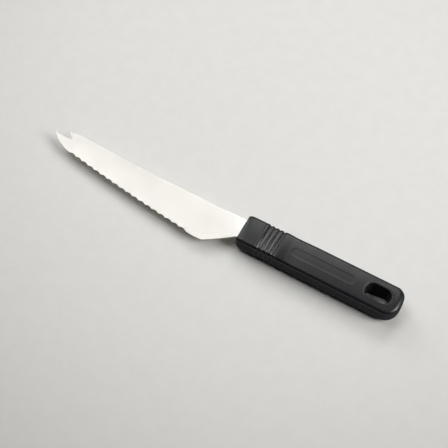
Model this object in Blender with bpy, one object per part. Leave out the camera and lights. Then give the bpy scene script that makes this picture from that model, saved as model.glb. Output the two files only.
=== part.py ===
"""Cheese knife: a forked, serrated steel blade whose tang is moulded into a black plastic handle.

The knife lies flat on its handle. +X runs from the tip to the butt, +Y from the cutting edge
to the spine, and +Z is up. The origin is the middle of the handle's flat underside.
Outlines are drawn from the handle's front face: x is negative on the blade and positive
inside the handle, and y is zero on the handle's centreline.
"""

import math

import bmesh
import bpy
from mathutils import Matrix, Vector

# Handle bar
HANDLE_LENGTH = 0.1025
HANDLE_WIDTH = 0.0194
HANDLE_THICKNESS = 0.0147
HANDLE_EDGE_RADIUS = 0.0028
HANDLE_LOW_EDGE_RADIUS = 0.0050
LEAST_EDGE_RADIUS = 0.0007
FRONT_RIM_RADIUS = 0.0020
BUTT_TOP_RIM_RADIUS = 0.0024
BUTT_LOW_RIM_RADIUS = 0.0066
BUTT_SPINE_CORNER_RADIUS = 0.0062
BUTT_EDGE_CORNER_RADIUS = 0.0086
BUTT_CROWN_RADIUS = 0.030

# Grip ring behind the smooth collar: deep grooves between two fine border grooves
GROOVE_COUNT = 4
FIRST_GROOVE_FROM_FRONT = 0.0143
GROOVE_PITCH = 0.00295
GROOVE_WIDTH = 0.0019
GROOVE_DEPTH = 0.0007
BORDER_GROOVE_WIDTH = 0.0009
BORDER_GROOVE_DEPTH = 0.0002
BORDER_GROOVE_SPACING = 0.0028

# Bare name panel sunk into the top face
PANEL_LENGTH = 0.0409
PANEL_HEIGHT = 0.0064
PANEL_CORNER_RADIUS = 0.0016
PANEL_DEPTH = 0.00025
PANEL_WALL_RUN = 0.0008
PANEL_FROM_FRONT = 0.0321

# Hanging slot through the handle
SLOT_LENGTH = 0.0155
SLOT_WIDTH = 0.0090
SLOT_CENTRE_FROM_BUTT = 0.0149
SLOT_LIP_RADIUS = 0.0010
SLOT_LIP_STEEP_END = math.radians(75.0)

# Sheet steel of the blade and its tang
STEEL_THICKNESS = 0.0012
EDGE_THICKNESS = 0.00045
TAPER_HEIGHT = 0.022
PLUNGE_FROM_HANDLE = 0.0030

# Spine and forked tip
SPINE_OFFSET_AT_HANDLE = 0.00745
SPINE_RISE = 0.00215
SPINE_RISE_POWER = 3
SPINE_APEX_REACH = 0.1180
SHORT_TIP_REACH = 0.1308
SHORT_TIP_OFFSET = 0.0084
NOTCH_REACH = 0.1255
NOTCH_OFFSET = 0.0043
NOTCH_UPPER_BOW = 0.0004
NOTCH_LOWER_BOW = 0.0010
LONG_TIP_REACH = 0.1385
LONG_TIP_OFFSET = 0.0055
BELLY_CONTROL_REACH = 0.1331
BELLY_CONTROL_OFFSET = -0.0020

# Serrated edge and heel
SCALLOP_COUNT = 18
SCALLOP_DEPTH = 0.0009
FIRST_TOOTH_REACH = 0.12125
FIRST_TOOTH_OFFSET = -0.0047
LAST_TOOTH_REACH = 0.03025
LAST_TOOTH_OFFSET = -0.0166
EDGE_BOW = 0.00085
EDGE_BEVEL_ANGLE = math.radians(30.0)
EDGE_LAND = 0.0001
BEVEL_START_FROM_TIP = 0.0020
HEEL_REACH = 0.0192
HEEL_OFFSET = -0.0169
HEEL_BOW = 0.0004
HEEL_CORNER_RADIUS = 0.0035
CHOIL_SLOPE = 0.69
CHOIL_BOW = 0.0002
CHOIL_CORNER_RADIUS = 0.0015

# Root and tang inside the handle
ROOT_LOW_OFFSET = -0.0048
ROOT_DEPTH = 0.0070
TANG_WIDTH = 0.0080
TANG_LENGTH = 0.0700
TANG_SHOULDER_RUN = 0.0030
TANG_HOLE_RADIUS = 0.0022
TANG_HOLE_COUNT = 2
FIRST_TANG_HOLE_FROM_FRONT = 0.0300
TANG_HOLE_SPACING = 0.0280

# Clearance between the moulded plastic and the steel
MOULD_CLEARANCE = 0.0003

# Colour and roughness of the two materials
PLASTIC_COLOUR = (0.035, 0.035, 0.037)
PLASTIC_ROUGHNESS = 0.5
STEEL_COLOUR = (0.80, 0.79, 0.76)
STEEL_ROUGHNESS = 0.35

# How finely curves are cut into flats, and how far a cutter runs past what it cuts
CORNER_STEPS = 6
GROOVE_STEPS = 8
BORDER_GROOVE_STEPS = 6
SLOT_END_STEPS = 12
SCALLOP_STEPS = 6
CURVE_STEPS = 12
HOLE_STEPS = 24
OVERCUT = 0.002
SECTION_GAP = 0.00004
WELD_DISTANCE = 0.000001
SMOOTH_ANGLE = math.radians(30.0)

FRONT_X = -HANDLE_LENGTH / 2
MID_Z = HANDLE_THICKNESS / 2


def arc(centre, radius, start, end, steps):
    """Points on a circle round centre, from angle start to angle end."""
    angles = [start + (end - start) * i / steps for i in range(steps + 1)]
    return [(centre[0] + radius * math.cos(a), centre[1] + radius * math.sin(a)) for a in angles]


def bow(start, control, end, steps=CURVE_STEPS):
    """Points on the quadratic curve from start to end that leans towards control."""
    points = []
    for i in range(steps + 1):
        t = i / steps
        weights = ((1 - t) ** 2, 2 * t * (1 - t), t ** 2)
        points.append(tuple(sum(w * p[k] for w, p in zip(weights, (start, control, end))) for k in range(2)))
    return points


def bowed_side(start, end, depth):
    """A side from start to end that bows to its left by depth at the middle."""
    chord = Vector(end) - Vector(start)
    left = Vector((-chord.y, chord.x)).normalized()
    control = (Vector(start) + Vector(end)) / 2 + left * 2 * depth
    return bow(start, tuple(control), end)


def rounded_corner(before, corner, after, radius):
    """The arc of the given radius that replaces a corner of an outline."""
    to_before = (Vector(before) - Vector(corner)).normalized()
    to_after = (Vector(after) - Vector(corner)).normalized()
    half_angle = to_before.angle(to_after) / 2
    reach = radius / math.tan(half_angle)
    start = Vector(corner) + to_before * reach
    end = Vector(corner) + to_after * reach
    return bow(tuple(start), corner, tuple(end), CORNER_STEPS)


def rounded_rectangle(half_width, half_height, upper_radius, lower_radius, steps=CORNER_STEPS):
    """An outline that runs anticlockwise, with an arc at each corner."""
    points = []
    for corner, (sx, sy) in enumerate(((1, 1), (-1, 1), (-1, -1), (1, -1))):
        radius = upper_radius if sy > 0 else lower_radius
        centre = (sx * (half_width - radius), sy * (half_height - radius))
        start = corner * math.pi / 2
        points += arc(centre, radius, start, start + math.pi / 2, steps)
    return points


def new_collection(name):
    """A collection in the scene."""
    collection = bpy.data.collections.new(name)
    bpy.context.scene.collection.children.link(collection)
    return collection


def new_material(name, colour, roughness, metallic):
    """A Principled BSDF material."""
    material = bpy.data.materials.new(name)
    material.use_nodes = True
    shader = material.node_tree.nodes["Principled BSDF"]
    shader.inputs["Base Color"].default_value = (*colour, 1.0)
    shader.inputs["Roughness"].default_value = roughness
    shader.inputs["Metallic"].default_value = metallic
    return material


def weld(mesh):
    """Join points that lie in one place, and turn every face outwards."""
    work = bmesh.new()
    work.from_mesh(mesh)
    bmesh.ops.remove_doubles(work, verts=work.verts, dist=WELD_DISTANCE)
    bmesh.ops.recalc_face_normals(work, faces=work.faces)
    work.to_mesh(mesh)
    work.free()


def loft(name, rings, collection):
    """A closed solid through rings of equally many points, capped at both ends."""
    mesh = bpy.data.meshes.new(name)
    work = bmesh.new()
    loops = [[work.verts.new(point) for point in ring] for ring in rings]
    count = len(loops[0])
    for near, far in zip(loops, loops[1:]):
        for i in range(count):
            j = (i + 1) % count
            work.faces.new((near[i], near[j], far[j], far[i]))
    work.faces.new(list(reversed(loops[0])))
    work.faces.new(loops[-1])
    bmesh.ops.recalc_face_normals(work, faces=work.faces)
    work.to_mesh(mesh)
    work.free()
    solid = bpy.data.objects.new(name, mesh)
    collection.objects.link(solid)
    return solid


def flat_solid(name, outlines, thickness, collection):
    """A sheet cut to closed outlines, centred on z = 0; an outline inside another is a hole."""
    curve = bpy.data.curves.new(name, "CURVE")
    curve.dimensions = "2D"
    curve.fill_mode = "BOTH"
    curve.extrude = thickness / 2
    for outline in outlines:
        spline = curve.splines.new("POLY")
        spline.points.add(len(outline) - 1)
        for point, (x, y) in zip(spline.points, outline):
            point.co = (x, y, 0, 1)
        spline.use_cyclic_u = True
    drawn = bpy.data.objects.new(name + "_outline", curve)
    collection.objects.link(drawn)
    evaluated = drawn.evaluated_get(bpy.context.evaluated_depsgraph_get())
    mesh = bpy.data.meshes.new_from_object(evaluated)
    mesh.name = name
    weld(mesh)
    solid = bpy.data.objects.new(name, mesh)
    solid.matrix_world = drawn.matrix_world
    collection.objects.link(solid)
    bpy.data.objects.remove(drawn)
    bpy.data.curves.remove(curve)
    return solid


def cut(target, cutter, solver="EXACT"):
    """Take the cutter's space out of the target, and keep the cutter as a guide."""
    cutter.hide_render = True
    cutter.display_type = "WIRE"
    modifier = target.modifiers.new("cut_" + cutter.name, "BOOLEAN")
    modifier.operation = "DIFFERENCE"
    modifier.solver = solver
    modifier.object = cutter


def shade(solid, material):
    """Give a solid its material, smooth over its rounds and crisp at its corners."""
    solid.data.materials.append(material)
    solid.data.shade_smooth()
    solid.data.set_sharp_from_angle(angle=SMOOTH_ANGLE)


def quarter_round_inset(distance, radius):
    """How far a rounded rim lies inside the outline at a distance behind its end face."""
    if distance >= radius:
        return 0.0
    return radius - math.sqrt(radius ** 2 - (radius - distance) ** 2)


def quarter_round_stations(radius):
    """Distances behind an end face at which a rounded rim gets its sections."""
    return [radius * (1 - math.cos(math.pi / 2 * i / CORNER_STEPS)) for i in range(CORNER_STEPS + 1)]


def groove_centres():
    """Places of the deep grooves, measured from the front face."""
    return [FIRST_GROOVE_FROM_FRONT + i * GROOVE_PITCH for i in range(GROOVE_COUNT)]


def border_centres():
    """Places of the two fine grooves that bound the grip ring."""
    deep = groove_centres()
    return [deep[0] - BORDER_GROOVE_SPACING, deep[-1] + BORDER_GROOVE_SPACING]


def wave(x, centre, width, depth):
    """Depth of one smooth groove: a raised cosine across its width."""
    reach = abs(x - centre) / (width / 2)
    if reach >= 1:
        return 0.0
    return depth * (1 + math.cos(math.pi * reach)) / 2


def groove_inset(x):
    """How far the grip ring's surface lies inside the handle's outline."""
    inset = sum(wave(x, c, GROOVE_WIDTH, GROOVE_DEPTH) for c in groove_centres())
    inset += sum(wave(x, c, BORDER_GROOVE_WIDTH, BORDER_GROOVE_DEPTH) for c in border_centres())
    return inset


class ButtOutline:
    """One half of the butt seen from above: a corner arc that runs into the shallow crown arc."""

    def __init__(self, corner_radius):
        self.corner_radius = corner_radius
        self.crown_x = HANDLE_LENGTH - BUTT_CROWN_RADIUS
        self.corner_y = HANDLE_WIDTH / 2 - corner_radius
        reach = BUTT_CROWN_RADIUS - corner_radius
        self.corner_x = self.crown_x + math.sqrt(reach ** 2 - self.corner_y ** 2)
        self.join_angle = math.asin(self.corner_y / reach)

    def stations(self):
        """Distances from the front face at which the butt gets its sections."""
        corner = arc((self.corner_x, 0), self.corner_radius, math.pi / 2, self.join_angle, 2 * CORNER_STEPS)
        crown = arc((self.crown_x, 0), BUTT_CROWN_RADIUS, self.join_angle, 0, CORNER_STEPS)
        return [x for x, _ in corner] + [x for x, _ in crown[1:-1]]

    def half_width(self, x):
        """The outline's distance from the centreline, at a distance from the front face."""
        if x <= self.corner_x:
            return HANDLE_WIDTH / 2
        join_x = self.crown_x + BUTT_CROWN_RADIUS * math.cos(self.join_angle)
        if x <= join_x:
            return self.corner_y + math.sqrt(self.corner_radius ** 2 - (x - self.corner_x) ** 2)
        return math.sqrt(max(BUTT_CROWN_RADIUS ** 2 - (x - self.crown_x) ** 2, 0.0))


def groove_stations(centre, width, steps):
    """Distances from the front face at which one groove gets its sections."""
    return [centre + width * (i / steps - 1 / 2) for i in range(steps + 1)]


def handle_stations(outlines):
    """Every distance from the front face at which the handle's section is drawn."""
    stations = quarter_round_stations(FRONT_RIM_RADIUS)
    for centre in border_centres():
        stations += groove_stations(centre, BORDER_GROOVE_WIDTH, BORDER_GROOVE_STEPS)
    for centre in groove_centres():
        stations += groove_stations(centre, GROOVE_WIDTH, GROOVE_STEPS)
    last = HANDLE_LENGTH
    for outline in outlines:
        stations += outline.stations()
        last = min(last, max(outline.stations()))
    for radius in (BUTT_TOP_RIM_RADIUS, BUTT_LOW_RIM_RADIUS):
        stations += [HANDLE_LENGTH - distance for distance in quarter_round_stations(radius)]
    kept = [0.0]
    for x in sorted(stations):
        if kept[-1] + SECTION_GAP < x <= last:
            kept.append(x)
    return kept


def handle_bar(collection):
    """The moulded bar: rounded sections lofted from the front rim to the crowned butt."""
    spine_side = ButtOutline(BUTT_SPINE_CORNER_RADIUS)
    edge_side = ButtOutline(BUTT_EDGE_CORNER_RADIUS)
    rings = []
    for x in handle_stations((spine_side, edge_side)):
        inset = quarter_round_inset(x, FRONT_RIM_RADIUS) + groove_inset(x)
        left = spine_side.half_width(x) - inset
        right = inset - edge_side.half_width(x)
        top = HANDLE_THICKNESS - inset - quarter_round_inset(HANDLE_LENGTH - x, BUTT_TOP_RIM_RADIUS)
        bottom = inset + quarter_round_inset(HANDLE_LENGTH - x, BUTT_LOW_RIM_RADIUS)
        half_width = (left - right) / 2
        half_height = (top - bottom) / 2
        radius = min(max(HANDLE_EDGE_RADIUS - inset, LEAST_EDGE_RADIUS), half_width, half_height)
        low_radius = min(max(HANDLE_LOW_EDGE_RADIUS - inset, LEAST_EDGE_RADIUS), half_width, half_height)
        section = rounded_rectangle(half_width, half_height, radius, low_radius)
        mid_y = (left + right) / 2
        mid_z = (top + bottom) / 2
        rings.append([(FRONT_X + x, mid_y + y, mid_z + z) for y, z in section])
    return loft("handle", rings, collection)


def slot_cutter(collection):
    """A long round-ended hole that opens into a rounded lip at both faces."""
    half_length = SLOT_LENGTH / 2
    half_width = SLOT_WIDTH / 2
    centre_x = FRONT_X + HANDLE_LENGTH - SLOT_CENTRE_FROM_BUTT
    lip = []
    for i in range(CORNER_STEPS):
        angle = SLOT_LIP_STEEP_END * i / (CORNER_STEPS - 1)
        rise = SLOT_LIP_RADIUS * (math.sin(angle) - 1)
        lip.append((HANDLE_THICKNESS / 2 + rise, SLOT_LIP_RADIUS * (1 - math.cos(angle))))
    last_height, last_offset = lip[-1]
    run_out = SLOT_LIP_RADIUS
    lip.append((last_height + run_out, last_offset + run_out * math.tan(SLOT_LIP_STEEP_END)))
    levels = [(-height, offset) for height, offset in reversed(lip)] + lip
    rings = []
    for height, offset in levels:
        radius = half_width + offset
        outline = rounded_rectangle(half_length + offset, radius, radius, radius, SLOT_END_STEPS)
        rings.append([(centre_x + x, y, MID_Z + height) for x, y in outline])
    cutter = loft("slot_cutter", rings, collection)
    weld(cutter.data)
    return cutter


def panel_cutter(collection):
    """A shallow tray with sloping walls for the name panel."""
    centre_x = FRONT_X + PANEL_FROM_FRONT + PANEL_LENGTH / 2
    slope = PANEL_WALL_RUN / PANEL_DEPTH
    rings = []
    for height in (-PANEL_DEPTH, PANEL_DEPTH):
        offset = height * slope
        radius = PANEL_CORNER_RADIUS + offset
        outline = rounded_rectangle(PANEL_LENGTH / 2 + offset, PANEL_HEIGHT / 2 + offset, radius, radius)
        rings.append([(centre_x + x, y, HANDLE_THICKNESS + height) for x, y in outline])
    return loft("panel_cutter", rings, collection)


def tang_outline(front, clearance):
    """Upper and lower side of the root and tang, from a plane in front to the round end and back."""
    low = ROOT_LOW_OFFSET - clearance
    high = SPINE_OFFSET_AT_HANDLE + clearance
    half = TANG_WIDTH / 2 + clearance
    shoulder = ROOT_DEPTH + clearance
    round_centre = TANG_LENGTH - TANG_WIDTH / 2
    lower = [(front, low), (shoulder, low), (shoulder + TANG_SHOULDER_RUN, -half)]
    end = arc((round_centre, 0), half, -math.pi / 2, math.pi / 2, 2 * CORNER_STEPS)
    upper = [(shoulder + TANG_SHOULDER_RUN, half), (shoulder, high), (front, high)]
    return lower + end + upper


def tang_holes(radius):
    """Circles on the tang's centreline, where the plastic runs through the steel."""
    places = [FIRST_TANG_HOLE_FROM_FRONT + i * TANG_HOLE_SPACING for i in range(TANG_HOLE_COUNT)]
    return [arc((x, 0), radius, 0, 2 * math.pi, HOLE_STEPS)[:-1] for x in places]


def pocket_cutter(collection):
    """The space that the tang fills; it leaves a peg standing in each of the tang's holes."""
    outlines = [tang_outline(-OVERCUT, MOULD_CLEARANCE)] + tang_holes(TANG_HOLE_RADIUS - MOULD_CLEARANCE)
    cutter = flat_solid("pocket_cutter", outlines, STEEL_THICKNESS + 2 * MOULD_CLEARANCE, collection)
    cutter.location = (FRONT_X, 0, MID_Z)
    return cutter


def make_handle(parts, cutters):
    """The handle: the lofted bar, its name panel, its hanging slot and the pocket for the tang."""
    handle = handle_bar(parts)
    shade(handle, new_material("matte_black_plastic", PLASTIC_COLOUR, PLASTIC_ROUGHNESS, 0.0))
    for cutter in (slot_cutter(cutters), panel_cutter(cutters), pocket_cutter(cutters)):
        cut(handle, cutter)
    return handle


def spine_line():
    """The spine from the handle to its highest point: it leaves the handle level, then rises."""
    points = []
    for i in range(1, CURVE_STEPS + 1):
        share = i / CURVE_STEPS
        rise = SPINE_RISE * share ** SPINE_RISE_POWER
        points.append((-SPINE_APEX_REACH * share, SPINE_OFFSET_AT_HANDLE + rise))
    return points


def forked_tip():
    """The short upper prong, the curved notch and the long lower prong."""
    apex = (-SPINE_APEX_REACH, SPINE_OFFSET_AT_HANDLE + SPINE_RISE)
    short_tip = (-SHORT_TIP_REACH, SHORT_TIP_OFFSET)
    notch = (-NOTCH_REACH, NOTCH_OFFSET)
    long_tip = (-LONG_TIP_REACH, LONG_TIP_OFFSET)
    shoulder = ((apex[0] + short_tip[0]) / 2, apex[1])
    points = bow(apex, shoulder, short_tip)[1:]
    points += bowed_side(short_tip, notch, NOTCH_UPPER_BOW)[1:]
    points += bowed_side(notch, long_tip, NOTCH_LOWER_BOW)[1:]
    return points


def belly():
    """The plain curved edge from the long prong's tip to the first tooth."""
    long_tip = (-LONG_TIP_REACH, LONG_TIP_OFFSET)
    control = (-BELLY_CONTROL_REACH, BELLY_CONTROL_OFFSET)
    return bow(long_tip, control, (-FIRST_TOOTH_REACH, FIRST_TOOTH_OFFSET))


def tooth_line(share):
    """A point on the slightly bowed line that the teeth stand on, by its share of the way."""
    x = -FIRST_TOOTH_REACH + (FIRST_TOOTH_REACH - LAST_TOOTH_REACH) * share
    y = FIRST_TOOTH_OFFSET + (LAST_TOOTH_OFFSET - FIRST_TOOTH_OFFSET) * share
    return (x, y - 4 * EDGE_BOW * share * (1 - share))


def choil_entry():
    """The corner where the choil meets the root's lower side."""
    return (-HEEL_REACH + (ROOT_LOW_OFFSET - HEEL_OFFSET) / CHOIL_SLOPE, ROOT_LOW_OFFSET)


def heel_corner():
    """The rounded corner between the plain heel edge and the choil."""
    return rounded_corner(tooth_line(1.0), (-HEEL_REACH, HEEL_OFFSET), choil_entry(), HEEL_CORNER_RADIUS)


def heel_edge():
    """The plain edge behind the last tooth, up to the heel corner."""
    return bowed_side(tooth_line(1.0), heel_corner()[0], -HEEL_BOW)


def heel():
    """The plain heel edge, the heel corner and the choil up to the handle."""
    corner = heel_corner()
    low_front = (-HEEL_REACH, HEEL_OFFSET)
    entry = rounded_corner(low_front, choil_entry(), (0, ROOT_LOW_OFFSET), CHOIL_CORNER_RADIUS)
    choil = bowed_side(corner[-1], entry[0], -CHOIL_BOW)
    return heel_edge()[1:-1] + corner + choil[1:-1] + entry


def blade_outline():
    """The stamped blank, anticlockwise from the spine at the handle."""
    teeth = [tooth_line(i / SCALLOP_COUNT) for i in range(1, SCALLOP_COUNT + 1)]
    tang = tang_outline(0, 0)
    return spine_line() + forked_tip() + belly()[1:] + teeth + heel() + tang


def taper_cutter(side, collection):
    """A slab whose face grinds one side of the blade thinner towards the edge."""
    first = Vector(tooth_line(0.0))
    last = Vector(tooth_line(1.0))
    along = (last - first).normalized()
    across = Vector((-along.y, along.x))
    tilt = math.atan((STEEL_THICKNESS - EDGE_THICKNESS) / 2 / TAPER_HEIGHT)
    hinge = first + across * TAPER_HEIGHT
    front = (-PLUNGE_FROM_HANDLE - hinge.x) / along.x
    rear = -(LONG_TIP_REACH + hinge.x) / along.x - OVERCUT
    depth = TAPER_HEIGHT - HEEL_OFFSET
    size = Vector((front - rear, depth, STEEL_THICKNESS))
    bpy.ops.mesh.primitive_cube_add(size=1)
    slab = bpy.context.object
    slab.name = "taper_cutter_" + ("top" if side > 0 else "bottom")
    for home in slab.users_collection:
        home.objects.unlink(slab)
    collection.objects.link(slab)
    slab.data.transform(Matrix.Diagonal((*size, 1)))
    slab.data.transform(Matrix.Translation(((front + rear) / 2, -depth / 2, side * STEEL_THICKNESS / 2)))
    slab.data.transform(Matrix.Rotation(side * tilt, 4, "X"))
    slab.data.transform(Matrix.Rotation(math.atan2(along.y, along.x), 4, "Z"))
    slab.location = (FRONT_X + hinge.x, hinge.y, MID_Z + side * STEEL_THICKNESS / 2)
    return slab


def edge_line():
    """The sharpened edge on the blade's flat face: plain belly, scallops, plain heel."""
    start_x = -LONG_TIP_REACH + BEVEL_START_FROM_TIP
    points = [(x, y + EDGE_LAND) for x, y in belly() if x > start_x]
    total = SCALLOP_COUNT * SCALLOP_STEPS
    for i in range(1, total + 1):
        x, y = tooth_line(i / total)
        phase = (i % SCALLOP_STEPS) / SCALLOP_STEPS
        points.append((x, y + EDGE_LAND + SCALLOP_DEPTH * 4 * phase * (1 - phase)))
    points += [(x, y + EDGE_LAND) for x, y in heel_edge()[1:]]
    return points


def edge_cutter(collection):
    """The grinding wheel's path along the edge: the edge line swept on a slant under the blade."""
    line = edge_line()
    outer = HEEL_OFFSET - 2 * OVERCUT
    outline = line + [(line[-1][0], outer), (line[0][0], outer)]
    depth = STEEL_THICKNESS + 2 * OVERCUT
    cutter = flat_solid("edge_cutter", [outline], depth, collection)
    lean = Matrix.Identity(4)
    lean[1][2] = -1 / math.tan(EDGE_BEVEL_ANGLE)
    flat_face_height = EDGE_THICKNESS / 2
    cutter.data.transform(Matrix.Translation((0, 0, -flat_face_height)))
    cutter.data.transform(lean)
    cutter.data.transform(Matrix.Translation((0, 0, flat_face_height)))
    cutter.location = (FRONT_X, 0, MID_Z)
    return cutter


def make_blade(parts, cutters):
    """The blade: a stamped blank with its tang, taper-ground on both sides and sharpened on one."""
    outlines = [blade_outline()] + tang_holes(TANG_HOLE_RADIUS)
    blade = flat_solid("blade", outlines, STEEL_THICKNESS, parts)
    blade.location = (FRONT_X, 0, MID_Z)
    shade(blade, new_material("satin_steel", STEEL_COLOUR, STEEL_ROUGHNESS, 1.0))
    for cutter in (edge_cutter(cutters), taper_cutter(1, cutters), taper_cutter(-1, cutters)):
        cut(blade, cutter, "MANIFOLD")
    return blade


def main():
    """Build the knife."""
    for leftover in list(bpy.data.objects):
        bpy.data.objects.remove(leftover)
    parts = new_collection("cheese_knife")
    cutters = new_collection("cutters")
    make_blade(parts, cutters)
    make_handle(parts, cutters)


main()
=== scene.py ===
"""The looks of a cheese knife: a forked, serrated steel blade in a black moulded handle.

Sizes are in millimetres. Shapes are worked out in knife coordinates: x is counted from the
handle's front face, negative along the blade and positive inside the handle; y is zero on the
handle's centreline and grows towards the spine; z is zero on the surface the knife lies on.
"""

import logging
import math
from dataclasses import dataclass, field
from enum import Enum
from typing import Sequence

import bmesh
import bpy
import numpy as np
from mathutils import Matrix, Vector

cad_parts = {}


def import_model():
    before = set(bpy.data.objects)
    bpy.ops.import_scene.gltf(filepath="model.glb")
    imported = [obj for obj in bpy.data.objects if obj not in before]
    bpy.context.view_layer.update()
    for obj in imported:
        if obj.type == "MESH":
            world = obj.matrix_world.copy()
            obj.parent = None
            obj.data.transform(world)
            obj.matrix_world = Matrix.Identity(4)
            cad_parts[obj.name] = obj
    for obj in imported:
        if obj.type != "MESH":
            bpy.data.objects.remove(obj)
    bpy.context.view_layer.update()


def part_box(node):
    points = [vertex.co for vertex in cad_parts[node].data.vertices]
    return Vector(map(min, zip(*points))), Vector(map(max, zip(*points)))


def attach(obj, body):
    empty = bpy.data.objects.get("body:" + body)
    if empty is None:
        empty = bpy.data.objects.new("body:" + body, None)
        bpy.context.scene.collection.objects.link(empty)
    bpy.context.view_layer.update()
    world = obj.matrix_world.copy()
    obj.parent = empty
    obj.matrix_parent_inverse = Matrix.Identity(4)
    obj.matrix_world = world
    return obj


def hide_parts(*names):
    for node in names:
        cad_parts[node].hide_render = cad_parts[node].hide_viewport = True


Array = np.ndarray
Pair = tuple[float, float]
Triple = tuple[float, float, float]
Colour = Triple
Period = float | Triple

# METRES is one millimetre in metres. The weld distance is in metres, the least step in
# millimetres, and TINY is a share that counts as nothing.
METRES = 0.001
WELD_DISTANCE = 0.0000015
LEAST_STEP = 0.0001
TINY = 1e-9

# Sizes that the blade and the handle share
HANDLE_THICKNESS = 14.7
STEEL_THICKNESS = 1.2
ROOT_LOW = -4.8
ROOT_HIGH = 7.45

log = logging.getLogger("cheese_knife")


class MaterialSlot(Enum):
    """The record's material slots."""

    BLADE = "blade_steel"
    HANDLE = "handle_plastic"


# Curves and sampling


def quadratic(start: Sequence[float], control: Sequence[float], end: Sequence[float], count: int) -> Array:
    """Points on a quadratic curve: each is the sum of start, control and end with weights
    (1 - t) squared, 2 t (1 - t) and t squared.

    Args:
        start: first point.
        control: point the curve leans towards.
        end: last point.
        count: number of points.

    Returns:
        An array of count points.
    """
    t = np.linspace(0.0, 1.0, count)[:, None]
    return (1 - t) ** 2 * np.array(start) + 2 * t * (1 - t) * np.array(control) + t**2 * np.array(end)


def bowed(start: Sequence[float], end: Sequence[float], depth: float, count: int) -> Array:
    """Points on a side from start to end that bows to its left by depth at the middle.

    Args:
        start: first point.
        end: last point.
        depth: how far the middle lies to the left of the straight line.
        count: number of points.

    Returns:
        An array of count points.
    """
    first, last = np.array(start, float), np.array(end, float)
    chord = last - first
    left = np.array((-chord[1], chord[0])) / np.hypot(*chord)
    return quadratic(first, (first + last) / 2 + left * 2 * depth, last, count)


def corner(
    before: Sequence[float], tip: Sequence[float], after: Sequence[float], radius: float, count: int
) -> Array:
    """Points on the curve that rounds a corner. It starts and ends where a circle of the radius
    would touch the two sides, and leans towards the corner in between.

    Args:
        before: a point on the first side.
        tip: the corner.
        after: a point on the second side.
        radius: radius of the rounding.
        count: number of points.

    Returns:
        An array of count points.
    """
    middle = np.array(tip, float)
    to_before = np.array(before, float) - middle
    to_after = np.array(after, float) - middle
    to_before /= np.hypot(*to_before)
    to_after /= np.hypot(*to_after)
    reach = radius / math.tan(math.acos(float(to_before @ to_after)) / 2)
    return quadratic(middle + to_before * reach, middle, middle + to_after * reach, count)


def ramp(x: Array, start: float, end: float) -> Array:
    """Nought up to start, one from end on, and 3 s squared minus 2 s cubed at the share s between."""
    s = np.clip((x - start) / (end - start), 0.0, 1.0)
    return s * s * (3 - 2 * s)


def plateau(x: Array, rise: Pair, fall: Pair) -> Array:
    """A ramp up from nought to one, and a ramp down again further on."""
    return ramp(x, *rise) * (1 - ramp(x, *fall))


def merged(*parts: Array) -> Array:
    """All numbers of the parts in order, without those closer than a tenth of a micrometre."""
    values = np.sort(np.concatenate(parts))
    return values[np.append(True, np.diff(values) > LEAST_STEP)]


# Objects and meshes


def linked(name: str, data: bpy.types.ID) -> bpy.types.Object:
    """A new object in the scene.

    Args:
        name: its name.
        data: its mesh, lamp or camera.

    Returns:
        The object.
    """
    made = bpy.data.objects.new(name, data)
    bpy.context.scene.collection.objects.link(made)
    return made


def aimed(name: str, data: bpy.types.ID, target: Vector, away: Vector) -> bpy.types.Object:
    """A new lamp or camera in the scene that looks at a target.

    Args:
        name: its name.
        data: the lamp or camera.
        target: the point it looks at, in metres.
        away: the way from the target to it, in metres.

    Returns:
        The lamp's or camera's object.
    """
    made = linked(name, data)
    made.location = target + away
    made.rotation_mode = "QUATERNION"
    made.rotation_quaternion = away.to_track_quat("Z", "Y")
    return made


class Patchwork:
    """Grids of points that are joined into one closed mesh."""

    def __init__(self) -> None:
        """Start with no grid."""
        self.points: list[Array] = []
        self.faces: list[Array] = []
        self.marks: list[Array] = []
        self.count = 0

    def add(self, grid: Array, marks: Array | None = None, closed: bool = False) -> None:
        """Add a grid of points, with a quad between each four neighbours.

        Args:
            grid: points of shape (rows, columns, 3), in knife coordinates.
            marks: a number from 0 to 1 for each point, kept as the attribute "mark".
            closed: whether the last column joins the first.
        """
        rows, columns = grid.shape[:2]
        index = np.arange(rows * columns).reshape(rows, columns) + self.count
        if closed:
            index = np.concatenate((index, index[:, :1]), axis=1)
        quads = np.stack((index[:-1, :-1], index[:-1, 1:], index[1:, 1:], index[1:, :-1]), axis=-1)
        self.points.append(grid.reshape(-1, 3))
        self.faces.append(quads.reshape(-1, 4))
        self.marks.append(np.broadcast_to(0.0 if marks is None else marks, (rows, columns)).ravel())
        self.count += rows * columns

    def build(self, name: str, front_face: float, sharp_angle: float) -> bpy.types.Object:
        """Make the mesh, weld the grids' shared borders and turn every face outwards.

        Args:
            name: the piece's name.
            front_face: place of the handle's front face along the row's X axis.
            sharp_angle: faces that meet at more than this many degrees get a crisp edge.

        Returns:
            The new object, linked to the scene.
        """
        points = np.concatenate(self.points) + np.array((front_face, 0.0, 0.0))
        mesh = bpy.data.meshes.new(name)
        mesh.from_pydata((points * METRES).tolist(), [], np.concatenate(self.faces).tolist())
        mark = mesh.attributes.new("mark", "FLOAT", "POINT")
        mark.data.foreach_set("value", np.concatenate(self.marks).astype(np.float32))
        work = bmesh.new()
        work.from_mesh(mesh)
        bmesh.ops.remove_doubles(work, verts=work.verts, dist=WELD_DISTANCE)
        bmesh.ops.recalc_face_normals(work, faces=work.faces)
        work.to_mesh(mesh)
        work.free()
        mesh.shade_smooth()
        mesh.set_sharp_from_angle(angle=math.radians(sharp_angle))
        return linked(name, mesh)


# Shader maths


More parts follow.
